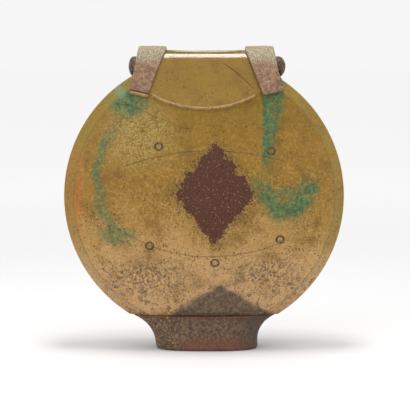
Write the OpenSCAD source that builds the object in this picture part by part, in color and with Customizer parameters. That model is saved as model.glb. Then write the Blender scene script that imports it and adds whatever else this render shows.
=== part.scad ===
// Pilgrim flask: a slab-built stoneware bottle with a disc body, a saddle-topped neck and a flared foot.
// Millimetres. +Z is up, the front faces -Y, and the origin is at the middle of the foot's underside.

/* [Body] */
// Radius of the disc-shaped body
body_r = 182; // [165:1:200]
// Thickness of the body through its middle, front to back
body_depth = 124; // [104:1:150]
// Thickness of the body at the seams between the dishes and the side bands
seam_depth = 70; // [60:1:84]
// Width of the flat outer face of the side bands
band_face = 42; // [32:1:52]
// How far the bevel of the side bands reaches in from the body's edge
bevel_w = 13; // [10:0.5:18]
// Thickness of the dishes and the side bands
wall = 8; // [6:0.5:10]

/* [Foot] */
// Height of the foot, from the table to the body
foot_h = 47; // [36:1:60]
// Width of the foot at the table
foot_w = 135; // [115:1:160]
// Depth of the foot at the table, front to back
foot_d = 80; // [66:1:90]
// Width of the body where it stands on the foot
foot_top_w = 194; // [175:1:215]
// Width of the ledge that the foot leaves at each end of the body
end_ledge = 2; // [1:0.5:4]
// Width of the ledge that the foot leaves in front of and behind the body
front_ledge = 6.5; // [4:0.5:10]
// Thickness of the foot's wall
foot_wall = 11; // [8:0.5:14]
// How far the foot's underside stands to the right of the body's middle
foot_shift = 4; // [0:0.5:6]
// Thickness of the floor slab that closes the body
floor_t = 9; // [6:0.5:12]

/* [Neck] */
// Height of the neck's ridge above the body's edge
ridge_rise = 8; // [2:0.5:14]
// Outer radius of the rounded ridge
ridge_r = 22; // [19:0.5:26]
// How far down the neck's front and back slabs reach from the ridge, at their middle
neck_drop = 75; // [66:0.5:84]
// Radius of the curved lower edges of the front and back slabs
edge_r = 129; // [118:1:160]
// Thickness of the neck's slabs and end slabs
neck_wall = 7; // [5:0.5:8.5]
// Length of the neck along its ridge
ridge_l = 176; // [160:1:186]
// Lean of the neck's end slabs from upright, in degrees
end_lean = 11; // [6:0.5:14]
// How far the neck stands to the right of the body's middle
neck_shift = 2.5; // [0:0.5:5]
// Length of the almond-shaped mouth
mouth_l = 96; // [70:1:98]
// Width of the mouth at its middle
mouth_w = 22; // [14:0.5:25]

/* [Straps] */
// Thickness of the two straps
strap_t = 6; // [4:0.5:8]
// Width of a strap where it crosses the ridge
strap_top_w = 37; // [28:0.5:38]
// How far a strap's inner edge leans outwards from the ridge to its root
strap_splay = 22; // [14:0.5:24]
// Width of a strap at its root
strap_root_w = 25; // [20:0.5:28]
// How far a strap's inner root corner reaches down over the dish, below the neck's slab
strap_lap = 5; // [3:0.5:8]
// How far a strap's outer root corner lies in from the body's edge
strap_edge = 8; // [4:0.5:14]
// Radius of the clay coils pressed along the strap roots
root_coil_r = 3.2; // [2:0.1:4]
// Radius of the beads pressed along the lower edges of the neck's slabs
bead_r = 2.2; // [1.5:0.1:3]

/* [Pegs] */
// Radius of the round heads of the pegs in the ends of the neck
peg_r = 14.4; // [12:0.2:17]
// Radius of the pegs' shanks, which go through the end slabs
shank_r = 9; // [7:0.5:11]
// How far the left peg stands out of its end slab
left_peg_out = 9; // [5:0.5:14]
// How far the right peg stands out of its end slab
right_peg_out = 12; // [5:0.5:14]
// How far the shanks reach into the neck behind the end slabs
peg_in = 6; // [3:0.5:12]

/* [Hidden] */
$fn = 96;

// Ochre glaze, bare iron-brown clay, ash-dusted clay and the toasted clay of the foot
glaze_colour = "#a8873a";
clay_colour = "#6b4a3c";
ash_colour = "#8a7459";
foot_colour = "#6f5a46";

// Counts of the points that draw the round and curved outlines
large_round = 288;
foot_points = 48;
foot_steps = 6;
ridge_steps = 8;

// The body is a disc that stands on its edge, with its axis running front to back
body_z = foot_h + sqrt(pow(body_r, 2) - pow(foot_top_w / 2, 2));
seam_r = body_r - bevel_w;
dome_rise = (body_depth - seam_depth) / 2;
dome_r = (pow(seam_r, 2) + pow(dome_rise, 2)) / (2 * dome_rise);
dome_y = dome_r - body_depth / 2;
bevel_slope = (seam_depth - band_face) / 2 / bevel_w;
bevel_offset = wall * sqrt(1 + pow(bevel_slope, 2));
reach = 2 * body_r;

// How far the body's face stands in front of its middle plane, at a place seen from the front
function face_y(x, z) =
    let (r = norm([x, z - body_z]))
    r < seam_r
        ? sqrt(pow(dome_r, 2) - pow(r, 2)) - dome_y
        : seam_depth / 2 - (r - seam_r) * bevel_slope;

// The neck's ridge is a level rounded bar. Each slab leaves it without a corner and leans out
// just enough for the middle of its lower edge to meet the dome of the dish.
ridge_top = body_z + body_r + ridge_rise;
ridge_z = ridge_top - ridge_r;
edge_z = ridge_top - neck_drop;
to_edge = [face_y(0, edge_z), ridge_z - edge_z];
slab_lean = atan2(to_edge[0], to_edge[1]) - asin(ridge_r / norm(to_edge));
slab_l = sqrt(pow(norm(to_edge), 2) - pow(ridge_r, 2));
// How much more the slab leans than the dome does, where they meet
edge_turn = slab_lean - asin((edge_z - body_z) / dome_r);

// Half of the mouth is the part of a large circle that is mouth_w / 2 deep and mouth_l long
mouth_r = (pow(mouth_l / 2, 2) + pow(mouth_w / 2, 2)) / mouth_w;

// Height of a slab's curved lower edge at a distance from the body's middle
function arc_z(x) =
    ridge_z + ridge_r * sin(slab_lean)
        - (slab_l - edge_r + sqrt(pow(edge_r, 2) - pow(x, 2))) * cos(slab_lean);

// The neck stands a little to one side, so its right-hand pieces are drawn with a shift to the
// right, and its left-hand pieces are drawn with the opposite shift and then mirrored.

// Place of the outer face of an end slab at a height
function end_x(z, shift) = shift + ridge_l / 2 + (ridge_top - z) * tan(end_lean);

// Height at which the outer face of an end slab enters a circle round the body's middle
function end_enters(r, shift) =
    let (
        top = [shift + ridge_l / 2, ridge_top - body_z],
        m = top * [sin(end_lean), -cos(end_lean)]
    )
    ridge_top + (m + sqrt(pow(m, 2) - top * top + pow(r, 2))) * cos(end_lean);

// A strap's corners as seen from the front
strap_out_top = ridge_l / 2;
strap_in_top = strap_out_top - strap_top_w;
strap_in_root = strap_in_top + strap_splay;
strap_out_root = strap_in_root + strap_root_w;
function in_root(shift) =
    [shift + strap_in_root, arc_z(shift + strap_in_root) - strap_lap];
function out_root(shift) =
    let (x = shift + strap_out_root)
    [x, body_z + sqrt(pow(body_r - strap_edge, 2) - pow(x, 2))];

// The foot's half width, half depth and squareness grow from the table up to the body
foot_top_x = foot_top_w / 2 + end_ledge;
foot_top_y = face_y(0, foot_h) + front_ledge;
function foot_x(z) = foot_w / 2 + (foot_top_x - foot_w / 2) * pow(z / foot_h, 3);
function foot_y(z) = foot_d / 2 + (foot_top_y - foot_d / 2) * pow(z / foot_h, 2);
function foot_power(z) = 2.3 + 0.5 * pow(z / foot_h, 2);
function foot_lean(z) = foot_shift * (1 - pow(z / foot_h, 2));

// The foot's outline at a height, as a rounded rectangle that is drawn in by an inset
function foot_outline(z, inset) = [
    for (i = [0 : foot_points - 1])
        let (a = 360 * i / foot_points, p = 2 / foot_power(z))
        [
            foot_lean(z) + (foot_x(z) - inset) * sign(cos(a)) * pow(abs(cos(a)), p),
            (foot_y(z) - inset) * sign(sin(a)) * pow(abs(sin(a)), p)
        ]
];

// Stands a shape that was drawn round the Z axis on its edge, at the middle of the body
module on_edge() {
    translate([0, 0, body_z])
        rotate([90, 0, 0])
            children();
}

module on_left() {
    mirror([1, 0, 0])
        children();
}

module on_back() {
    mirror([0, 1, 0])
        children();
}

// Lays a shape on the front slab: its X runs along the ridge, its Y up the slab and its Z outwards
module on_front_slab() {
    translate([0, 0, ridge_z])
        rotate([90 - slab_lean, 0, 0])
            children();
}

module below_body() {
    translate([-reach, -reach, foot_h - reach])
        cube([2 * reach, 2 * reach, reach]);
}

// Half outline of the solid body: radius runs right and depth runs up
module body_outline() {
    middle = band_face / 2 + body_r * bevel_slope;
    intersection() {
        polygon([[0, -middle], [body_r, -band_face / 2], [body_r, band_face / 2], [0, middle]]);
        translate([0, -dome_y])
            circle(dome_r, $fn = 4 * large_round);
        translate([0, dome_y])
            circle(dome_r, $fn = 4 * large_round);
    }
}

module body_block() {
    on_edge()
        rotate_extrude($fn = large_round)
            body_outline();
}

// The drum whose rim is the lower edge of the front slab
module slab_drum() {
    on_front_slab()
        translate([0, edge_r - slab_l, -reach / 2])
            cylinder(r = edge_r, h = reach, $fn = large_round);
}

module dish() {
    difference() {
        on_edge()
            rotate_extrude($fn = large_round)
                intersection() {
                    translate([0, -dome_y])
                        difference() {
                            circle(dome_r, $fn = 4 * large_round);
                            circle(dome_r - wall, $fn = 4 * large_round);
                        }
                    square([seam_r, body_depth]);
                }
        below_body();
        slab_drum();
    }
}

module front_shell() {
    color(glaze_colour)
        dish();
}

module back_shell() {
    color(glaze_colour)
        on_back()
            dish();
}

// Section of a side band: a flat outer face between two bevels
module band_outline() {
    in_r = body_r - wall;
    in_y = band_face / 2 + wall * bevel_slope - bevel_offset;
    seam_in_y = seam_depth / 2 - bevel_offset;
    polygon([
        [seam_r, seam_depth / 2], [body_r, band_face / 2],
        [body_r, -band_face / 2], [seam_r, -seam_depth / 2],
        [seam_r, -seam_in_y], [in_r, -in_y],
        [in_r, in_y], [seam_r, seam_in_y]
    ]);
}

// A side band runs round from the foot to the neck, and is notched for the peg's head
module side_band(shift) {
    difference() {
        on_edge()
            rotate_extrude(angle = 180, start = -90, $fn = large_round)
                band_outline();
        below_body();
        translate([0, reach / 2, 0])
            rotate([90, 0, 0])
                linear_extrude(reach)
                    polygon([
                        [0, body_z], [end_x(body_z, shift), body_z],
                        [end_x(ridge_top, shift), ridge_top], [0, ridge_top]
                    ]);
        peg_bar(peg_r, shift);
    }
}

module right_side_band() {
    color(glaze_colour)
        side_band(neck_shift);
}

module left_side_band() {
    color(glaze_colour)
        on_left()
            side_band(-neck_shift);
}

// A solid that follows the foot's outline between two heights
module foot_block(low, high, inset) {
    n = foot_points;
    rings = [for (k = [0 : foot_steps]) low + (high - low) * k / foot_steps];
    points = [for (z = rings) each [for (p = foot_outline(z, inset)) [p[0], p[1], z]]];
    sides = [
        for (k = [0 : foot_steps - 1], i = [0 : n - 1])
            let (a = k * n, j = (i + 1) % n)
            each [[a + i, a + n + i, a + n + j], [a + i, a + n + j, a + j]]
    ];
    under = [for (i = [0 : n - 1]) i];
    over = [for (i = [n - 1 : -1 : 0]) foot_steps * n + i];
    polyhedron(points, concat(sides, [under], [over]));
}

// The floor slab is let into the top of the foot's collar, flush under the body
module floor_seat(height) {
    translate([0, 0, foot_h - floor_t])
        linear_extrude(height)
            polygon(foot_outline(foot_h - floor_t, foot_wall));
}

module floor_slab() {
    color(foot_colour)
        floor_seat(floor_t);
}

module foot_collar() {
    color(foot_colour)
        difference() {
            foot_block(-foot_wall, foot_h, 0);
            foot_block(-2 * foot_wall, foot_h - floor_t, foot_wall);
            floor_seat(2 * floor_t);
            translate([-reach, -reach, -reach])
                cube([2 * reach, 2 * reach, reach]);
        }
}

// Points along the ridge's curve, from one lean of the slabs to another, counted in equal steps
function ridge_arc(off, from, to, steps) = [
    for (i = [0 : steps])
        let (a = from + (to - from) * i / steps)
        (ridge_r + off) * [cos(a), sin(a)]
];

// A place on a slab's face, well past the slab's lower edge
function slab_end(off) =
    (ridge_r + off) * [cos(slab_lean), sin(slab_lean)]
        + (slab_l + 2 * wall) * [sin(slab_lean), -cos(slab_lean)];

// The whole outline of the neck's section: a round ridge over two leaning faces
function tent_outline(off) = concat(
    [slab_end(off)],
    ridge_arc(off, slab_lean, 180 - slab_lean, 2 * ridge_steps),
    [[-slab_end(off)[0], slab_end(off)[1]]]
);

// Section of the front slab alone, with its half of the ridge
function slab_outline() = concat(
    [[-slab_end(-neck_wall)[0], slab_end(-neck_wall)[1]]],
    ridge_arc(-neck_wall, 180 - slab_lean, 90, ridge_steps),
    ridge_arc(0, 90, 180 - slab_lean, ridge_steps),
    [[-slab_end(0)[0], slab_end(0)[1]]]
);

// Draws a section of the neck out along the whole ridge; the section's left side is the front
module along_ridge() {
    translate([-reach / 2, 0, ridge_z])
        rotate([90, 0, 90])
            linear_extrude(reach)
                children();
}

// All that lies to the right of an end slab's outer face, moved outwards by off
module past_end(off, shift) {
    translate([shift + ridge_l / 2 + off / cos(end_lean), 0, ridge_top])
        rotate([0, -end_lean, 0])
            translate([0, -reach / 2, -reach])
                cube([reach, reach, 2 * reach]);
}

// A round bar along the ridge's axis, from inside the neck out past its right end
module peg_bar(r, shift) {
    translate([shift, 0, ridge_z])
        rotate([0, 90, 0])
            cylinder(r = r, h = reach);
}

module neck_block() {
    intersection() {
        along_ridge()
            polygon(tent_outline(0));
        slab_drum();
        on_back()
            slab_drum();
    }
}

module mouth_slot() {
    translate([neck_shift, 0, ridge_z])
        linear_extrude(2 * ridge_r)
            intersection_for (side = [-1, 1])
                translate([0, side * (mouth_r - mouth_w / 2)])
                    circle(mouth_r, $fn = large_round);
}

module neck_slab() {
    difference() {
        intersection() {
            along_ridge()
                polygon(slab_outline());
            slab_drum();
        }
        past_end(-neck_wall, neck_shift);
        on_left()
            past_end(-neck_wall, -neck_shift);
        mouth_slot();
    }
}

module front_neck_slab() {
    color(glaze_colour)
        neck_slab();
}

module back_neck_slab() {
    color(glaze_colour)
        on_back()
            neck_slab();
}

// An end slab closes the neck, reaches down inside the side band and is bored for its peg
module neck_end(shift) {
    difference() {
        intersection() {
            neck_block();
            past_end(-neck_wall, shift);
            translate([0, -reach / 2, end_enters(body_r - 2 * wall, shift)])
                cube([reach, reach, reach]);
        }
        past_end(0, shift);
        peg_bar(shank_r, shift);
    }
}

module right_neck_end() {
    color(glaze_colour)
        neck_end(neck_shift);
}

module left_neck_end() {
    color(glaze_colour)
        on_left()
            neck_end(-neck_shift);
}

// A peg has a shank in the end slab and a round domed head against the slab's leaning face
module peg(out, shift) {
    head_r = (pow(peg_r, 2) + pow(out, 2)) / (2 * out);
    slant = peg_r * tan(end_lean);
    shank_l = peg_in + neck_wall / cos(end_lean) + shank_r * tan(end_lean);
    translate([end_x(ridge_z, shift), 0, ridge_z])
        rotate([0, 90, 0])
            translate([0, 0, -shank_l])
                cylinder(r = shank_r, h = shank_l + out / 2);
    intersection() {
        past_end(0, shift);
        translate([end_x(ridge_z, shift), 0, ridge_z])
            rotate([0, 90, 0])
                rotate_extrude() {
                    translate([0, -slant])
                        square([peg_r, slant]);
                    intersection() {
                        translate([0, out - head_r])
                            circle(head_r);
                        square([peg_r, out]);
                    }
                }
    }
}

module right_peg() {
    color(clay_colour)
        peg(right_peg_out, neck_shift);
}

module left_peg() {
    color(clay_colour)
        on_left()
            peg(left_peg_out, -neck_shift);
}

// A strap lies over the ridge and down both slabs, and its roots rest on the body
module strap(shift) {
    over = ridge_top + 2 * strap_t;
    difference() {
        intersection() {
            along_ridge()
                polygon(tent_outline(strap_t));
            translate([0, reach / 2, 0])
                rotate([90, 0, 0])
                    linear_extrude(reach)
                        polygon([
                            [shift + strap_out_top, over], [shift + strap_in_top, over],
                            in_root(shift), out_root(shift)
                        ]);
        }
        neck_block();
        body_block();
        peg_bar(peg_r, shift);
    }
}

module right_strap() {
    color(ash_colour)
        strap(neck_shift);
}

module left_strap() {
    color(ash_colour)
        on_left()
            strap(-neck_shift);
}

// A thin bead lies along the front slab's lower edge, where slab and dish meet at a blunt corner
module neck_bead() {
    spread = asin((strap_in_root - neck_shift - 2 * bead_r) / edge_r);
    side = 2 * bead_r;
    on_front_slab()
        translate([0, edge_r - slab_l, ridge_r])
            rotate_extrude(angle = 2 * spread, start = -90 - spread, $fn = large_round)
                translate([edge_r, 0])
                    intersection() {
                        circle(bead_r);
                        polygon([
                            [-side, 0], [0, 0], [side, -side * tan(edge_turn)],
                            [side, side], [-side, side]
                        ]);
                    }
}

module front_neck_bead() {
    color(clay_colour)
        neck_bead();
}

module back_neck_bead() {
    color(clay_colour)
        on_back()
            neck_bead();
}

// A coil fills the corner between a strap's cut lower end and the dish, as far as the seam.
// The cut is a plane, so it meets the dome in a circle, round which the coil is drawn.
module root_coil(shift) {
    cut = out_root(shift) - in_root(shift);
    slope = atan2(cut[1], cut[0]);
    corner = in_root(shift) - [0, body_z];
    cut_d = corner * [sin(slope), -cos(slope)];
    cut_r = sqrt(pow(dome_r, 2) - pow(cut_d, 2));
    from = asin(corner * [cos(slope), sin(slope)] / cut_r);
    to = asin(sqrt(pow(seam_r, 2) - pow(cut_d, 2)) / cut_r);
    side = 2 * root_coil_r;
    translate([cut_d * sin(slope), dome_y, body_z - cut_d * cos(slope)])
        rotate([0, 180 - slope, 0])
            rotate_extrude(angle = to - from, start = 270 - to, $fn = 4 * large_round)
                translate([cut_r, 0])
                    intersection() {
                        circle(root_coil_r);
                        polygon([[0, 0], [side, 0], [side, side], [-side * cut_d / cut_r, side]]);
                    }
}

module right_front_root_coil() {
    color(clay_colour)
        root_coil(neck_shift);
}

module left_front_root_coil() {
    color(clay_colour)
        on_left()
            root_coil(-neck_shift);
}

module right_back_root_coil() {
    color(clay_colour)
        on_back()
            root_coil(neck_shift);
}

module left_back_root_coil() {
    color(clay_colour)
        on_left()
            on_back()
                root_coil(-neck_shift);
}

front_shell();
back_shell();
left_side_band();
right_side_band();
floor_slab();
foot_collar();
front_neck_slab();
back_neck_slab();
left_neck_end();
right_neck_end();
left_strap();
right_strap();
left_peg();
right_peg();
front_neck_bead();
back_neck_bead();
left_front_root_coil();
right_front_root_coil();
left_back_root_coil();
right_back_root_coil();
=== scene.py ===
import math

import bmesh
import bpy
from mathutils import Matrix, Vector, noise


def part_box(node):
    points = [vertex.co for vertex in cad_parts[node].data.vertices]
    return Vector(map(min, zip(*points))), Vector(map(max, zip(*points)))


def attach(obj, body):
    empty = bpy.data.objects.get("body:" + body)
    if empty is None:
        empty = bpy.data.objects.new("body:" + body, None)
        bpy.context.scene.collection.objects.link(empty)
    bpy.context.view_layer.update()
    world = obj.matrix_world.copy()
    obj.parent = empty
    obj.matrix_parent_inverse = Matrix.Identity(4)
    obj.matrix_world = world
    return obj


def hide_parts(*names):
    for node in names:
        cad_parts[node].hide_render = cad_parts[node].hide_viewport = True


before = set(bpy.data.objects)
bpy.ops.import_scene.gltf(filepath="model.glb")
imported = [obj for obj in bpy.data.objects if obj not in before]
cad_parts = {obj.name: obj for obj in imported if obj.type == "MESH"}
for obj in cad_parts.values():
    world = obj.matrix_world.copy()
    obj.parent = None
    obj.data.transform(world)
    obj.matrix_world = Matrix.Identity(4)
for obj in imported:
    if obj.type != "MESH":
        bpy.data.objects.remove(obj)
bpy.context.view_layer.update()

MM = 0.001

# The body: a thin disc on its edge, with a shallow dome on each face and a bevel outside the seam
BODY_Z = 0.201
SEAM_R = 0.169
SEAM_HALF_DEPTH = 0.035
BEVEL_SLOPE = 1.077
DOME_R = 0.5424
DOME_Y = 0.4804

# The neck: a level rounded ridge with a long mouth in it, and two slabs that lean out from it
RIDGE_TOP = 0.391
RIDGE_R = 0.022
RIDGE_Z = RIDGE_TOP - RIDGE_R
SLAB_LEAN = math.radians(25.5)
RIDGE_TURN = math.pi / 2 - SLAB_LEAN
SLAB_L = 0.0692
EDGE_R = 0.129
MOUTH_L = 0.096
MOUTH_W = 0.022
NECK_SHIFT = 0.0025

# A strap's two edges, from the neck's middle: where they cross the ridge, and how they spread below
STRAP_INNER = 0.051
STRAP_OUTER = 0.088
INNER_SPREAD = 0.0225
OUTER_SPREAD = 0.0105


# Shader helpers

def colour(code):
    """The linear colour of an sRGB hex code."""
    parts = [int(code[i:i + 2], 16) / 255 for i in (1, 3, 5)]
    linear = [c / 12.92 if c <= 0.04045 else ((c + 0.055) / 1.055) ** 2.4 for c in parts]
    return linear + [1.0]


def add(tree, kind, inputs, **settings):
    """Adds a node with its settings, and its inputs as values or links."""
    node = tree.nodes.new("ShaderNode" + kind)
    for name, value in settings.items():
        setattr(node, name, value)
    for name, value in inputs.items():
        if isinstance(value, bpy.types.NodeSocket):
            tree.links.new(value, node.inputs[name])
        else:
            node.inputs[name].default_value = value
    return node


def mask(tree, *parts):
    """Multiplies parts together; a part (value, start, end) runs from 0 at start to 1 at end."""
    product = None
    for part in parts:
        if isinstance(part, tuple):
            inputs = {"Value": part[0], "From Min": part[1], "From Max": part[2]}
            part = add(tree, "MapRange", inputs, interpolation_type="SMOOTHSTEP").outputs[0]
        if product is None:
            product = part
        else:
            product = add(tree, "Math", {0: product, 1: part}, operation="MULTIPLY").outputs[0]
    return product


def either(tree, *masks):
    """The greatest of the masks at each place."""
    greatest = masks[0]
    for other in masks[1:]:
        greatest = add(tree, "Math", {0: greatest, 1: other}, operation="MAXIMUM").outputs[0]
    return greatest


def total(tree, start, *parts):
    """Adds parts to a starting value, each given with the share of it that counts."""
    for part, share in parts:
        inputs = {0: part, 1: share, 2: start}
        start = add(tree, "Math", inputs, operation="MULTIPLY_ADD").outputs[0]
    return start


def apart(tree, value, middle):
    """How far a value lies from a middle one, to either side."""
    offset = add(tree, "Math", {0: value, 1: middle}, operation="SUBTRACT").outputs[0]
    return add(tree, "Math", {0: offset}, operation="ABSOLUTE").outputs[0]


def lay(tree, under, over, *parts):
    """Lays one colour over another where all of the mask's parts are; a colour may be a hex code."""
    both = [colour(item) if isinstance(item, str) else item for item in (under, over)]
    inputs = {0: mask(tree, *parts), 6: both[0], 7: both[1]}
    return add(tree, "Mix", inputs, data_type="RGBA").outputs[2]


def mottle(tree, where, size, detail=5.0):
    """Cloudy mottling whose blobs are about size millimetres wide."""
    inputs = {"Vector": where, "Scale": 1 / (size * MM), "Detail": detail, "Roughness": 0.6}
    return add(tree, "TexNoise", inputs).outputs["Fac"]


def wander(tree, where, size, amount):
    """Shifts a place by noise, so that an outline drawn with it turns ragged."""
    inputs = {"Vector": where, "Scale": 1 / (size * MM), "Detail": 4.0, "Roughness": 0.65}
    drift = add(tree, "TexNoise", inputs).outputs["Color"]
    centred = add(tree, "VectorMath", {0: drift, 1: (0.5, 0.5, 0.5)}, operation="SUBTRACT")
    inputs = {0: centred.outputs[0], "Scale": amount * MM}
    scaled = add(tree, "VectorMath", inputs, operation="SCALE")
    return add(tree, "VectorMath", {0: where, 1: scaled.outputs[0]}, operation="ADD").outputs[0]


def oval(tree, where, x, z, half_w, half_h):
    """How far a place lies from an oval's centre, 1 on its outline; sizes in millimetres."""
    centre = (x * MM, 0, z * MM)
    scale = (1 / (half_w * MM), 0, 1 / (half_h * MM))
    offset = add(tree, "VectorMath", {0: where, 1: centre}, operation="SUBTRACT").outputs[0]
    scaled = add(tree, "VectorMath", {0: offset, 1: scale}, operation="MULTIPLY").outputs[0]
    return add(tree, "VectorMath", {0: scaled}, operation="LENGTH").outputs["Value"]


def spot(tree, where, x, z, half_w, half_h, soft):
    """An oval patch with a soft edge."""
    return mask(tree, (oval(tree, where, x, z, half_w, half_h), 1 + soft, 1 - soft))


def halo(tree, where, x, z, half_w, half_h, width):
    """A ring of pooled glaze round an oval."""
    away = apart(tree, oval(tree, where, x, z, half_w, half_h), 1.0)
    return mask(tree, (away, width, width * 0.2))


def specks(tree, where, size, share):
    """Small round specks; share is the part of the cells' width that a speck fills."""
    cells = add(tree, "TexVoronoi", {"Vector": where, "Scale": 1 / (size * MM)})
    return mask(tree, (cells.outputs["Distance"], share, share * 0.6))


def cracks(tree, where, size, width):
    """A net of fine cracks, as in crazed glaze."""
    inputs = {"Vector": where, "Scale": 1 / (size * MM)}
    cells = add(tree, "TexVoronoi", inputs, feature="DISTANCE_TO_EDGE")
    return mask(tree, (cells.outputs["Distance"], width, 0.0))


def new_material(name):
    """An empty material, its node tree, and the place on the object that its patterns follow."""
    material = bpy.data.materials.new(name)
    material.use_nodes = True
    tree = material.node_tree
    tree.nodes.clear()
    return material, tree, add(tree, "TexCoord", {}).outputs["Object"]


def surface(tree, base, roughness, height, depth, specular=0.4):
    """Joins a colour, a roughness and a height in millimetres into the finished surface."""
    bump = add(tree, "Bump", {"Height": height, "Distance": depth * MM, "Strength": 1.0})
    inputs = {
        "Base Color": base, "Roughness": roughness, "Normal": bump.outputs[0],
        "Specular IOR Level": specular,
    }
    shader = add(tree, "BsdfPrincipled", inputs)
    add(tree, "OutputMaterial", {"Surface": shader.outputs[0]})


# Ash glaze over stoneware, brushed and poured with copper and fired in wood smoke: a runny,
# crazed and specked skin, olive above and tan below. Grit is drawn coarser than real, to show
def make_ash_glaze(name, low_roughness, roughening, specular, depth):
    material, tree, p = new_material(name)
    ragged = wander(tree, p, 14, 16)
    loose = wander(tree, p, 26, 26)
    x, y, z = add(tree, "SeparateXYZ", {0: p}).outputs
    rx, _, rz = add(tree, "SeparateXYZ", {0: ragged}).outputs
    from_middle = apart(tree, x, 0.0)
    front = mask(tree, (y, 0.001, -0.001))
    fine = mottle(tree, p, 4)
    grit = mottle(tree, p, 1.4, 3.0)

    # Olive high up, honey ochre at the middle and pinkish tan low down
    level = total(tree, rz, (mottle(tree, p, 45), 0.11))
    base = lay(tree, "#8f6a1c", "#7e5f0a", (level, 0.28, 0.40))
    base = lay(tree, base, "#be965e", (level, 0.27, 0.14))
    base = lay(tree, base, "#c4a064", 0.6, (fine, 0.45, 0.72), (level, 0.46, 0.20))
    base = lay(tree, base, "#6b4a12", 0.55, (mottle(tree, p, 22), 0.48, 0.70))
    base = lay(tree, base, "#573e12", 0.5, (grit, 0.52, 0.70))

    # Pinkish and smoky grey mottling near the bottom
    low = mask(tree, (level, 0.20, 0.11))
    base = lay(tree, base, "#bc9674", low, (fine, 0.45, 0.60))
    base = lay(tree, base, "#6a5648", 0.75, low, (mottle(tree, p, 9), 0.52, 0.66))

    # Orange flashes along the left edge
    base = lay(tree, base, "#b5672c", 0.8, fine, spot(tree, ragged, -172, 205, 16, 75, 0.6))

    # Grey smoke smudges low on both sides
    left_smudge = spot(tree, loose, -72, 98, 52, 26, 0.7)
    right_smudge = spot(tree, loose, 82, 104, 36, 24, 0.7)
    smudges = either(tree, left_smudge, right_smudge)
    base = lay(tree, base, "#51463c", 0.8, smudges, (mottle(tree, p, 3.2, 3.0), 0.46, 0.62))

    # Paler crackled glaze on the left shoulder
    shoulder = spot(tree, ragged, -82, 282, 46, 40, 0.5)
    base = lay(tree, base, "#a8995c", 0.6, shoulder, (mottle(tree, p, 2.6, 2.0), 0.42, 0.60))

    # Copper green: a shoulder pool, a run with a sharp left edge, and pools in two round sweeps
    pool = spot(tree, ragged, -98, 326, 25, 20, 0.45)
    sharp_x = add(tree, "SeparateXYZ", {0: wander(tree, p, 40, 4)}).outputs[0]
    right_edge = total(tree, rx, (z, -0.20))
    run = mask(tree, (sharp_x, 0.0735, 0.0755), (right_edge, 0.0425, 0.0305), (rz, 0.228, 0.262))
    sweep = mask(tree, halo(tree, loose, 106, 226, 31, 40, 0.55), (rz, 0.236, 0.214))
    filled = mask(tree, 0.7, spot(tree, loose, 106, 200, 27, 17, 0.5))
    faint_sweep = halo(tree, loose, -80, 226, 58, 84, 0.17)
    faint_sweep = mask(tree, faint_sweep, (rx, -0.092, -0.112), (rz, 0.300, 0.270))
    low_pool = mask(tree, spot(tree, ragged, -112, 154, 22, 13, 0.5), (rz, 0.168, 0.160))
    faint = mask(tree, 0.7, either(tree, faint_sweep, low_pool))
    thickness = total(tree, 0.4, (mask(tree, (mottle(tree, p, 12), 0.30, 0.55)), 0.5))
    green = mask(tree, either(tree, pool, run, sweep, filled, faint), thickness)
    copper = lay(tree, "#23553b", "#557a46", (fine, 0.40, 0.65))
    base = lay(tree, base, copper, green)
    base = lay(tree, base, "#4a8c7e", 0.8, spot(tree, ragged, -107, 338, 7, 8, 0.5))

    # Glaze stands thick and olive on the bevelled rim
    away = oval(tree, p, 0, BODY_Z / MM, SEAM_R / MM, SEAM_R / MM)
    rim = mask(tree, (away, 0.985, 1.01), (level, 0.12, 0.22), (from_middle, 0.066, 0.080))
    base = lay(tree, base, "#8b7424", 0.5, rim)
    base = lay(tree, base, "#6a5420", 0.35, (apart(tree, away, 1.0), 0.012, 0.0))

    # A plain lozenge left bare on the front, its edge worn through the glaze
    lozenge_x, lozenge_z = 0.014, 0.208
    across = apart(tree, rx, lozenge_x)
    along = apart(tree, rz, lozenge_z)
    reach = total(tree, across, (along, 0.80), (mottle(tree, p, 11), 0.030))
    bare = mask(tree, front, (reach, 0.0680, 0.0665))
    margin = mask(tree, front, (reach, 0.086, 0.067))
    base = lay(tree, base, "#7a5a2a", 0.25, margin)
    base = lay(tree, base, "#2e211a", 0.85, margin, specks(tree, p, 3.0, 0.50))
    clay = lay(tree, "#43261d", "#5f3b2c", (grit, 0.40, 0.65))
    clay = lay(tree, clay, "#8a6240", specks(tree, p, 4.5, 0.22))
    base = lay(tree, base, clay, bare)

    # Smoke-dark clay above the foot, rising to a peak
    peak_x = 0.022
    peak = total(tree, rz, (apart(tree, rx, peak_x), 0.60), (grit, 0.010))
    dark = mask(tree, (peak, 0.099, 0.090))
    skirt = mask(tree, (total(tree, rz, (fine, 0.016)), 0.064, 0.050))
    ashen = lay(tree, "#443830", "#655548", (fine, 0.40, 0.62))
    base = lay(tree, base, ashen, 0.9, dark)
    base = lay(tree, base, "#4d3b2c", 0.8, skirt)

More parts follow.
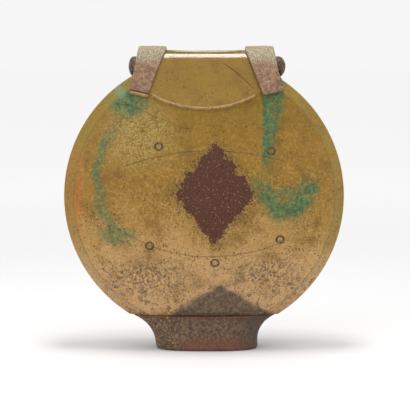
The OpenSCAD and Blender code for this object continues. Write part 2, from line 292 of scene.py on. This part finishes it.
    # Crazing, dark specks that thicken downwards, and two plain incised arcs
    unglazed = either(tree, bare, dark, skirt)
    glazed = total(tree, 1.0, (unglazed, -1.0))
    crazing = cracks(tree, wander(tree, p, 3, 1.5), 2.6, 0.07)
    base = lay(tree, base, "#4c3a1c", 0.28, crazing, glazed)
    dots = specks(tree, ragged, 4.0, 0.30)
    dots = mask(tree, dots, glazed, (level, 0.40, 0.18), (mottle(tree, p, 20), 0.40, 0.55))
    base = lay(tree, base, "#33241a", 0.8, dots)
    pepper = mask(tree, (mottle(tree, p, 2.2, 2.0), 0.56, 0.64), (mottle(tree, p, 26), 0.35, 0.60))
    base = lay(tree, base, "#402a12", 0.7, pepper, glazed)
    arcs = []
    for arc_z, arc_r in ((-60, 322), (352, 226)):
        curve = oval(tree, wander(tree, p, 30, 3), 10, arc_z, arc_r, arc_r)
        stroke = (apart(tree, curve, 1.0), 1.1 / arc_r, 0.3 / arc_r)
        arcs.append(mask(tree, front, stroke, (from_middle, 0.104, 0.100)))
    incised = either(tree, *arcs)
    base = lay(tree, base, "#4a3818", 0.4, incised)

    roughness = total(tree, low_roughness, (fine, roughening), (low, 0.22))
    roughness = either(tree, roughness, mask(tree, 0.78, unglazed))
    hollows = ((crazing, -0.25), (incised, -1.2), (bare, -0.9), (dots, -0.5))
    height = total(tree, 0.0, (grit, 0.35), (fine, 0.8), *hollows)
    surface(tree, base, roughness, height, depth, specular)
    return material


# Bare stoneware, crackled, mauve-brown and dry below, with a painted highlight that turns its top
# paler grey
def make_painted_highlight_strap_clay():
    material, tree, p = new_material("strap_clay_with_painted_top_highlight")
    fine = mottle(tree, p, 4)
    grit = mottle(tree, p, 1.4, 3.0)
    base = lay(tree, "#735540", "#98775a", (fine, 0.40, 0.62))
    height_up = add(tree, "SeparateXYZ", {0: p}).outputs[2]
    level = total(tree, height_up, (mottle(tree, p, 14), 0.02))
    # Painted highlight: paler grey where the strap runs over the top of the ridge
    painted_top_highlight = lay(tree, "#82745e", "#b3a488", (grit, 0.42, 0.60))
    base = lay(tree, base, painted_top_highlight, (level, 0.378, 0.392))
    crackle = cracks(tree, wander(tree, p, 3, 1.5), 2.8, 0.10)
    base = lay(tree, base, "#3d2f27", 0.45, crackle)
    base = lay(tree, base, "#a07a3a", 0.6, specks(tree, p, 6, 0.22))
    height = total(tree, fine, (grit, 1.0), (crackle, -0.6))
    surface(tree, base, roughness=0.72, height=height, depth=0.5)
    return material


# Iron-rich clay, dark from the fire: a dull sheen with ochre glaze caught in specks
def make_iron_clay():
    material, tree, p = new_material("iron_brown_peg_clay")
    fine = mottle(tree, p, 5)
    base = lay(tree, "#31221a", "#57402a", (fine, 0.40, 0.65))
    base = lay(tree, base, "#86703a", specks(tree, p, 3.2, 0.3))
    height = total(tree, fine, (mottle(tree, p, 1.5, 3.0), 1.0))
    surface(tree, base, roughness=0.45, height=height, depth=0.5)
    return material


# Thin slip pressed into the joints: pale honey, where the glaze ran thin over it
def make_luting_slip():
    material, tree, p = new_material("honey_luting_slip")
    fine = mottle(tree, p, 4)
    base = lay(tree, "#755426", "#9a7840", (fine, 0.35, 0.65))
    base = lay(tree, base, "#4a3420", specks(tree, p, 3.0, 0.25))
    surface(tree, base, roughness=0.4, height=fine, depth=0.5)
    return material


# Toasted unglazed stoneware of the foot: dry, reddened in the middle and smoked at the right
def make_toasted_clay():
    material, tree, p = new_material("toasted_foot_clay")
    x, _, z = add(tree, "SeparateXYZ", {0: wander(tree, p, 14, 12)}).outputs
    fine = mottle(tree, p, 4)
    grit = mottle(tree, p, 1.5, 3.0)
    base = lay(tree, "#4a392c", "#725a45", (fine, 0.38, 0.62))
    red = mask(tree, (z, 0.022, 0.010), (x, 0.075, 0.045), (x, -0.045, -0.020))
    base = lay(tree, base, "#6e432f", 0.7, red)
    base = lay(tree, base, "#5a3424", 0.55, (z, 0.036, 0.046))
    base = lay(tree, base, "#a98c5c", 0.7, (x, 0.0, -0.06), specks(tree, p, 4, 0.35))
    base = lay(tree, base, "#453a34", 0.6, (x, 0.035, 0.070))
    base = lay(tree, base, "#2f241e", 0.8, specks(tree, p, 5, 0.2))
    height = total(tree, fine, (grit, 0.7))
    surface(tree, base, roughness=0.78, height=height, depth=0.7)
    return material


# Mesh helpers

def finish_piece(bm, name, material, nodes=(), smoothing=0):
    """Turns a bmesh into a piece of the flask, in metres in the shared frame."""
    bmesh.ops.remove_doubles(bm, verts=bm.verts, dist=0.02 * MM)
    bmesh.ops.recalc_face_normals(bm, faces=bm.faces)
    for face in bm.faces:
        face.smooth = True
    mesh = bpy.data.meshes.new(name)
    bm.to_mesh(mesh)
    bm.free()
    mesh.materials.append(material)
    piece = bpy.data.objects.new(name, mesh)
    bpy.context.collection.objects.link(piece)
    if smoothing:
        rounding = piece.modifiers.new("rounding", "SUBSURF")
        rounding.levels = smoothing
        rounding.render_levels = smoothing
    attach(piece, "root")
    if nodes:
        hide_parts(*nodes)


def next_ring(bm, edges):
    """Extrudes a loop of edges and returns the new loop's verts and edges."""
    made = bmesh.ops.extrude_edge_only(bm, edges=edges)["geom"]
    verts = [item for item in made if isinstance(item, bmesh.types.BMVert)]
    kept = set(verts)
    loop = [
        item for item in made
        if isinstance(item, bmesh.types.BMEdge) and kept.issuperset(item.verts)
    ]
    return verts, loop


def loft(rings, segments, power=2.0, closed=False):
    """Lofts rings of (half width, half depth, height, shift) into a skin round the Z axis."""
    bm = bmesh.new()
    bmesh.ops.create_circle(bm, segments=segments, radius=1.0)
    for vert in bm.verts:
        vert.co.x = math.copysign(abs(vert.co.x) ** (2 / power), vert.co.x)
        vert.co.y = math.copysign(abs(vert.co.y) ** (2 / power), vert.co.y)
    verts = list(bm.verts)
    edges = list(bm.edges)
    first = edges
    last_w, last_d, last_shift = 1.0, 1.0, 0.0
    for i, (half_w, half_d, height, shift) in enumerate(rings):
        if i:
            verts, edges = next_ring(bm, edges)
        for vert in verts:
            vert.co.x = shift + (vert.co.x - last_shift) * half_w / last_w
            vert.co.y = vert.co.y * half_d / last_d
            vert.co.z = height
        last_w, last_d, last_shift = half_w, half_d, shift
    if closed:
        bmesh.ops.bridge_loops(bm, edges=first + edges)
    return bm


def roughen(bm, size, amount):
    """Presses the surface mostly inwards, as fingers leave it; sizes in millimetres."""
    inward = 0.35
    bm.normal_update()
    for vert in bm.verts:
        push = noise.noise(vert.co / (size * MM)) - inward
        vert.co += vert.normal * push * amount * MM


def face_y(x, z):
    """How far the body's face stands in front of its middle plane."""
    from_centre = math.hypot(x, z - BODY_Z)
    return math.sqrt(DOME_R ** 2 - min(from_centre, SEAM_R) ** 2) - DOME_Y


def body_y(x, z):
    """The same with the bevel outside the seam, where the side bands are."""
    outside = max(math.hypot(x, z - BODY_Z) - SEAM_R, 0)
    return SEAM_HALF_DEPTH - outside * BEVEL_SLOPE if outside else face_y(x, z)


def on_face(x, z):
    """A place on the body's front, from millimetres."""
    return Vector((x * MM, -face_y(x * MM, z * MM), z * MM))


def slab_edge_z(x):
    """Height of a neck slab's curved lower edge."""
    drop = SLAB_L - EDGE_R + math.sqrt(EDGE_R ** 2 - x ** 2)
    return RIDGE_Z + RIDGE_R * math.sin(SLAB_LEAN) - drop * math.cos(SLAB_LEAN)


def neck_point(x, along, off):
    """A place on the neck: along runs down the front slab from the ridge, negative to the back."""
    side = -1 if along >= 0 else 1
    past = abs(along) - RIDGE_TURN * RIDGE_R
    angle = min(abs(along) / RIDGE_R, RIDGE_TURN)
    r = RIDGE_R + off
    y = r * math.sin(angle)
    z = RIDGE_Z + r * math.cos(angle)
    if past > 0:
        y += past * math.sin(SLAB_LEAN)
        z -= past * math.cos(SLAB_LEAN)
    return Vector((x, side * y, z))


def tube(points, radius, sides=10):
    """A thin closed roll of clay along a line of points, pinched at its ends."""
    pinch = 0.35
    bm = bmesh.new()
    bmesh.ops.create_circle(bm, segments=sides, radius=1.0)
    verts = list(bm.verts)
    edges = list(bm.edges)
    start = edges
    unit = {vert.co.copy().freeze(): vert.co.copy() for vert in verts}
    last = len(points) - 1
    for i, point in enumerate(points):
        ahead = points[min(i + 1, last)] - points[max(i - 1, 0)]
        turn = ahead.to_track_quat("Z", "Y").to_matrix().to_4x4()
        reach = radius * (pinch if i in (0, last) else 1.0)
        if i:
            verts, edges = next_ring(bm, edges)
        corners = [unit[vert.co.copy().freeze()] for vert in verts]
        for vert, corner in zip(verts, corners):
            vert.co = Matrix.Translation(point) @ turn @ (corner * reach)
        unit = {vert.co.copy().freeze(): corner for vert, corner in zip(verts, corners)}
    bmesh.ops.edgeloop_fill(bm, edges=start)
    bmesh.ops.edgeloop_fill(bm, edges=edges)
    return bm


def curve_through(corners, steps=8):
    """Points of a smooth line through a few corners."""
    points = []
    last = len(corners) - 1
    for i in range(last):
        a = corners[max(i - 1, 0)]
        b = corners[i]
        c = corners[i + 1]
        d = corners[min(i + 2, last)]
        for k in range(steps):
            t = k / steps
            points.append(
                0.5 * ((2 * b) + (c - a) * t + (2 * a - 5 * b + 4 * c - d) * t ** 2
                       + (3 * b - a - 3 * c + d) * t ** 3)
            )
    points.append(corners[last])
    return points


# Pieces

def make_foot(material):
    """The oval foot: a flared collar with a rounded top ledge and a hollow underside."""
    # Half width, half depth and height in millimetres, up the outside and down the hollow
    outside = [
        (66.2, 38.8, 0.6), (67.0, 39.4, 2.5), (67.2, 39.7, 6), (67.3, 39.8, 12), (69.0, 40.2, 20),
        (71.8, 40.9, 26), (75.2, 41.8, 31), (79.5, 42.9, 36), (86.0, 44.4, 41), (91.5, 45.4, 44),
        (95.5, 45.9, 46), (96.2, 45.4, 46.9),
    ]
    hollow = [
        (86, 38.5, 46.6), (58, 31.0, 37), (56.5, 29.5, 20), (56.0, 28.8, 5), (57.5, 30.0, 1.0),
        (62, 34.5, 0.0),
    ]
    base_shift = 0.004
    foot_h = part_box("foot_collar")[1][2] / MM
    rings = []
    for half_w, half_d, height in outside + hollow:
        shift = base_shift * (1 - height / foot_h)
        rings.append((half_w * MM, half_d * MM, height * MM, shift))
    bm = loft(rings, 128, 2.7, closed=True)
    standing_z = 0.003
    ledge_z = 0.045
    dent, dent_depth = 0.018, 0.0006
    wave, wave_height = 0.030, 0.0005
    for vert in bm.verts:
        push = noise.noise(vert.co / dent) * dent_depth
        if vert.co.z > standing_z:
            vert.co.y += math.copysign(push, vert.co.y)
            if vert.co.z < ledge_z:
                vert.co.z += noise.noise(vert.co / wave) * wave_height
    finish_piece(bm, "foot", material, ["foot_collar"], 1)


def strap_place(node, side, across, along, off):
    """A place on a strap: across runs -1..1 outwards and along -1..1 from back root to front root."""
    root_gap = 0.001
    corner_cut = 0.0030
    press_start = 0.002
    press_run = 0.010
    root_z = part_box(node)[0][2]
    arc = RIDGE_TURN * RIDGE_R
    down = (neck_point(0, arc, 0).z - root_z) / math.cos(SLAB_LEAN)
    full = arc + down - root_gap
    straight = arc * 0.4
    spread = max(abs(along) * full - straight, 0) / (full - straight)
    inner = STRAP_INNER + INNER_SPREAD * spread
    outer = STRAP_OUTER + OUTER_SPREAD * spread
    x = side * (inner + (outer - inner) * (across + 1) / 2) + NECK_SHIFT
    shortened = corner_cut * (across + 1) * abs(along)
    point = neck_point(x, along * (full - shortened), off)
    stands_off = max(abs(point.y) - body_y(x, point.z) - off, 0)
    pressed = min(max((slab_edge_z(x) + press_start - point.z) / press_run, 0), 1)
    point.y = math.copysign(abs(point.y) - stands_off * pressed, point.y)
    return point


def make_strap(name, node, side, coils, material, slip):
    """A flat strap of clay laid over the ridge, pressed down on both slabs and luted at its roots."""
    thick = 0.0058
    sunk = 0.0008
    headroom = 0.0006
    edge_crowding = 1.35
    roll_r = 0.0023
    roll_off = 0.0020
    bm = bmesh.new()
    bmesh.ops.create_grid(bm, x_segments=10, y_segments=64, size=1.0)
    for vert in bm.verts:
        across = math.copysign(1 - (1 - abs(vert.co.x)) ** edge_crowding, vert.co.x)
        along = vert.co.y
        dents = noise.noise(Vector((across * 0.018, along * 0.05, side)) / 0.012)
        swell = 0.0006 * (1 - across ** 2) + 0.0005 * dents
        vert.co = strap_place(node, side, across, along, thick / 2 - sunk + swell)
    faces = list(bm.faces)
    bmesh.ops.recalc_face_normals(bm, faces=faces)
    bmesh.ops.solidify(bm, geom=faces, thickness=thick)
    depths = [vert.co.y for vert in bm.verts]
    middle = (max(depths) + min(depths)) / 2
    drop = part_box(node)[1][2] - headroom - max(vert.co.z for vert in bm.verts)
    bmesh.ops.translate(bm, verts=bm.verts, vec=(0, -middle, drop))
    finish_piece(bm, name, material, [node], 1)
    for along, coil in zip((1.004, -1.004), coils):
        line = [strap_place(node, side, step / 5, along, roll_off) for step in range(-5, 6)]
        finish_piece(tube(line, roll_r), coil + "_roll", slip, [coil])


def make_luting_pad(name, side, facing, material):
    """A thumbed lump of clay that fills the corner between strap root, end slab and shoulder."""
    half_size = (0.0066, 0.0085, 0.0105, 1.0)
    middle = Vector((side * 0.0925 + NECK_SHIFT, facing * 0.0260, 0.3465))
    place = Matrix.Translation(middle) @ Matrix.Diagonal(half_size)
    bm = bmesh.new()
    bmesh.ops.create_icosphere(bm, subdivisions=4, radius=1.0)
    bmesh.ops.transform(bm, matrix=place, verts=bm.verts)
    roughen(bm, 6, 1.0)
    finish_piece(bm, name, material)


def make_peg(name, node, side, head, material):
    """A domed round peg, a little squashed, with a rolled edge against the neck."""
    # Shares of the radius and of the head's height, from the neck outwards
    rows = [
        (0.62, -0.5), (0.93, -0.3), (0.985, 0.0), (0.97, 0.30), (0.90, 0.52), (0.76, 0.70),
        (0.56, 0.85), (0.34, 0.94), (0.14, 0.985),
    ]
    squash = 0.98
    low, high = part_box(node)
    r = (high[2] - low[2]) / 2
    end = high[0] if side > 0 else -low[0]
    rings = [(r * wide, r * wide * squash, end - head + head * step, 0) for wide, step in rows]
    bm = loft(rings, 40)
    ends = [edge for edge in bm.edges if edge.is_boundary]
    bmesh.ops.holes_fill(bm, edges=ends)
    roughen(bm, 9, 0.5)
    turn = Matrix.Rotation(math.radians(90 * side), 4, "Y")
    bmesh.ops.transform(bm, matrix=turn, verts=bm.verts)
    bmesh.ops.translate(bm, verts=bm.verts, vec=(0, 0, (low[2] + high[2]) / 2))
    finish_piece(bm, name, material, [node], 1)


def make_mouth_lip(material):
    """A soft rolled lip round the long mouth in the ridge, sagging a little at its middle."""
    turns = 14
    r = 0.0034
    sunk = 0.0032
    sag = 0.0012
    sag_end = 0.050
    wave, wave_height = 0.030, 0.0007
    rings = []
    for i in range(turns):
        angle = math.tau * i / turns
        grow = r * math.cos(angle)
        height = RIDGE_TOP - sunk + r * math.sin(angle)
        rings.append((MOUTH_L / 2 + grow, MOUTH_W / 2 + grow, height, 0.0))
    bm = loft(rings, 96, 4.5, closed=True)
    for vert in bm.verts:
        vert.co.z += noise.noise(vert.co / wave) * wave_height
        vert.co.z -= sag * (1 - (vert.co.x / sag_end) ** 2)
    finish_piece(bm, "mouth_lip", material, (), 1)


def make_seam(name, corners, radius, material):
    """A slab's pressed-down edge, standing a little proud of the face."""
    finish_piece(tube(curve_through(corners), radius), name, material)


def make_stamped_ring(name, x, z, material):
    """The small raised ring that a round stamp leaves in the clay."""
    turns = 10
    middle_r = 0.0048
    half_wall = 0.0011
    proud = 0.0010
    squash = 0.94
    rings = []
    for i in range(turns):
        angle = math.tau * i / turns
        r = middle_r + half_wall * math.cos(angle)
        rings.append((r, r * squash, proud * math.sin(angle), 0.0))
    bm = loft(rings, 32, closed=True)
    middle = on_face(x, z)
    outwards = (middle - Vector((0, DOME_Y, BODY_Z))).normalized()
    turn = outwards.to_track_quat("Z", "Y").to_matrix().to_4x4()
    bmesh.ops.transform(bm, matrix=Matrix.Translation(middle) @ turn, verts=bm.verts)
    finish_piece(bm, name, material)


glaze = make_ash_glaze("runny_ochre_ash_glaze", 0.24, 0.25, specular=0.28, depth=0.45)
neck_glaze = make_ash_glaze("glossy_neck_ash_glaze", 0.10, 0.08, specular=0.55, depth=0.14)
painted_highlight_strap_clay = make_painted_highlight_strap_clay()
iron_clay = make_iron_clay()
toasted_clay = make_toasted_clay()
luting_slip = make_luting_slip()

# The finish of each CAD node, by the end of its name
finishes = (
    (("shell", "side_band"), glaze),
    (("neck_slab", "neck_end"), neck_glaze),
    (("bead", "coil"), luting_slip),
    (("strap", "peg"), iron_clay),
    (("floor_slab", "foot_collar"), toasted_clay),
)
for node_name, node_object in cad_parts.items():
    for endings, finish in finishes:
        if node_name.endswith(endings):
            for material_slot in node_object.material_slots:
                material_slot.material = finish

make_foot(toasted_clay)
for side, hand in ((-1, "left"), (1, "right")):
    root_coils = [hand + "_front_root_coil", hand + "_back_root_coil"]
    make_strap(hand + "_carrying_strap", hand + "_strap", side, root_coils, painted_highlight_strap_clay, luting_slip)
    make_luting_pad(hand + "_front_luting_pad", side, -1, neck_glaze)
    make_luting_pad(hand + "_back_luting_pad", side, 1, neck_glaze)
make_peg("left_round_peg", "left_peg", -1, 0.009, iron_clay)
make_peg("right_round_peg", "right_peg", 1, 0.012, iron_clay)
make_mouth_lip(neck_glaze)

neck_corners = ((-0.006, 0.010), (0.028, 0.031), (0.052, 0.052), (0.064, 0.066))
neck_line = [neck_point(x, along, 0.0001) for x, along in neck_corners]
make_seam("neck_slab_seam", neck_line, 0.0010, glaze)
shoulder_corners = ((-112, 322), (-91, 320), (-77, 314), (-60, 306), (-34, 296), (-20, 291))
shoulder_line = [on_face(x, z) for x, z in shoulder_corners]
make_seam("shoulder_slab_seam", shoulder_line, 0.0009, glaze)
stamp_places = ((-58, 268), (86, 262), (-70, 140), (14, 118), (98, 148))
for number, (ring_x, ring_z) in enumerate(stamp_places, 1):
    make_stamped_ring("stamped_ring_%d" % number, ring_x, ring_z, iron_clay)


# Floor, light and camera

def make_stage():
    """A pale floor that runs out far past the picture."""
    bm = bmesh.new()
    bmesh.ops.create_circle(bm, cap_ends=True, segments=64, radius=40.0)
    mesh = bpy.data.meshes.new("floor")
    bm.to_mesh(mesh)
    bm.free()
    floor = bpy.data.objects.new("floor", mesh)
    bpy.context.collection.objects.link(floor)
    material, tree, p = new_material("pale_studio_floor")
    away = add(tree, "VectorMath", {0: p}, operation="LENGTH").outputs["Value"]
    pale = lay(tree, "#e2e2e2", "#fdfdfd", (away, 0.2, 3.0))
    inputs = {"Base Color": pale, "Roughness": 0.9, "Specular IOR Level": 0.0}
    shader = add(tree, "BsdfPrincipled", inputs)
    add(tree, "OutputMaterial", {"Surface": shader.outputs[0]})
    mesh.materials.append(material)


def make_light(name, position, target, size, power):
    """A softbox at a position, turned to its target; sizes in metres and power in watts."""
    lamp = bpy.data.lights.new(name, "AREA")
    lamp.shape = "RECTANGLE"
    lamp.size = size[0]
    lamp.size_y = size[1]
    lamp.energy = power
    holder = bpy.data.objects.new(name, lamp)
    holder.location = position
    aim = Vector(target) - Vector(position)
    holder.rotation_euler = aim.to_track_quat("-Z", "Y").to_euler()
    bpy.context.collection.objects.link(holder)


def make_camera():
    """The camera stands 2.25 m away and 5 degrees above the middle of the picture."""
    distance = 2.25
    rise = math.radians(5)
    picture_w = 0.5387
    target = Vector((0.0013, 0.0, 0.188))
    lens = bpy.data.cameras.new("camera")
    lens.sensor_width = 36
    lens.lens = lens.sensor_width * distance / picture_w
    camera = bpy.data.objects.new("camera", lens)
    camera.location = target + distance * Vector((0, -math.cos(rise), math.sin(rise)))
    camera.rotation_euler = (target - camera.location).to_track_quat("-Z", "Y").to_euler()
    bpy.context.collection.objects.link(camera)
    bpy.context.scene.camera = camera


make_stage()
make_light("top_softbox", (0.0, -0.12, 1.45), (0, 0, 0.35), size=(0.30, 0.50), power=9)
make_light("left_softbox", (-1.7, -1.7, 1.1), (0, 0, 0.2), size=(1.2, 1.2), power=13)
make_light("right_softbox", (1.9, -1.2, 0.9), (0, 0, 0.2), size=(1.0, 1.0), power=7)
world = bpy.data.worlds.new("studio")
world.use_nodes = True
background = world.node_tree.nodes["Background"]
background.inputs["Color"].default_value = colour("#ffffff")
background.inputs["Strength"].default_value = 0.93
bpy.context.scene.world = world
bpy.context.scene.view_settings.view_transform = "Standard"
make_camera()
